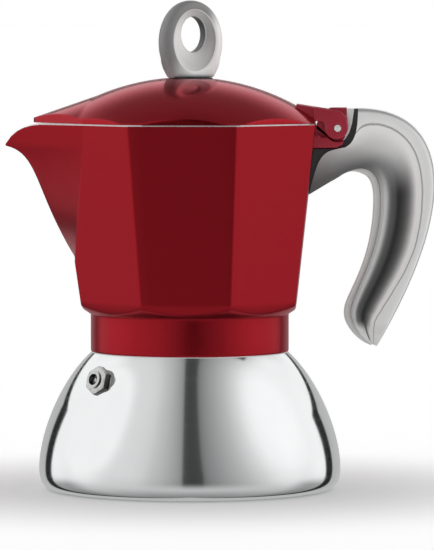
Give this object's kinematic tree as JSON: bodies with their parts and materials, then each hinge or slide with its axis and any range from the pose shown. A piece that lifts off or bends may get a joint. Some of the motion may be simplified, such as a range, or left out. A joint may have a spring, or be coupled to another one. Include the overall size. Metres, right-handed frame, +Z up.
{
  "type": "stove-top moka pot",
  "caption": "Stove-top coffee maker with a bell-shaped steel boiler, an eight-sided screw-on collector with a spout, a hinged domed lid and a curved side handle.",
  "frame": {"origin": "centre of the boiler's flat base, on the surface it stands on", "axes": "+Z up along the pot's axis, -X towards the spout, +X towards the handle"},
  "size_m": [0.1593, 0.1118, 0.181],
  "materials": {
    "polished_steel": "polished",
    "steel": "turned",
    "spring_steel": "drawn wire",
    "cast_aluminium": "satin",
    "sheet_aluminium": "brushed",
    "red_enamel": "satin paint",
    "silver_plastic": "satin metallic paint",
    "dark_plastic": "matte",
    "silicone": "matte"
  },
  "bodies": {
    "boiler": {"boiler_base": "polished_steel", "boiler_shell": "polished_steel", "boiler_core": "cast_aluminium", "boiler_tank": "cast_aluminium", "boiler_neck": "cast_aluminium", "valve_body": "steel", "valve_washer": "steel", "valve_nut": "steel", "valve_retainer": "steel", "valve_spring": "spring_steel", "funnel": "sheet_aluminium", "funnel_sieve": "sheet_aluminium"},
    "valve_stem": {"valve_piston": "steel", "valve_seal": "silicone"},
    "seal": {"gasket": "silicone", "filter_plate": "sheet_aluminium"},
    "collector": {"collector": "red_enamel", "hinge_pin": "steel", "handle_shell": "silver_plastic", "handle_liner": "dark_plastic", "handle_cover": "silver_plastic", "handle_screw": "steel"},
    "lid": {"lid": "red_enamel", "lid_knob": "silver_plastic", "knob_washer": "dark_plastic", "knob_screw": "steel"}
  },
  "joints": [
    {"name": "collector_lift", "type": "slide", "parent": "boiler", "child": "seal", "axis": [0, 0, 1], "range_m": [0, 0.0076]},
    {"name": "collector_turn", "type": "hinge", "parent": "seal", "child": "collector", "pos_m": [0, 0, 0.0562], "axis": [0, 0, 1], "range_deg": [0, 900]},
    {"name": "lid_hinge", "type": "hinge", "parent": "collector", "child": "lid", "pos_m": [0.0548, 0, 0.134], "axis": [0, 1, 0], "range_deg": [0, 90]},
    {"name": "valve_slide", "type": "slide", "parent": "boiler", "child": "valve_stem", "axis": [-0.6649, -0.7007, 0.2588], "range_m": [0, 0.0015], "stiffness_N_per_m": 900, "springref_m": -0.001, "deforming": ["valve_spring"]}
  ],
  "couplings": [
    {"joint": "collector_lift", "follows": "collector_turn", "m_per_rad": 0.00047746}
  ]
}
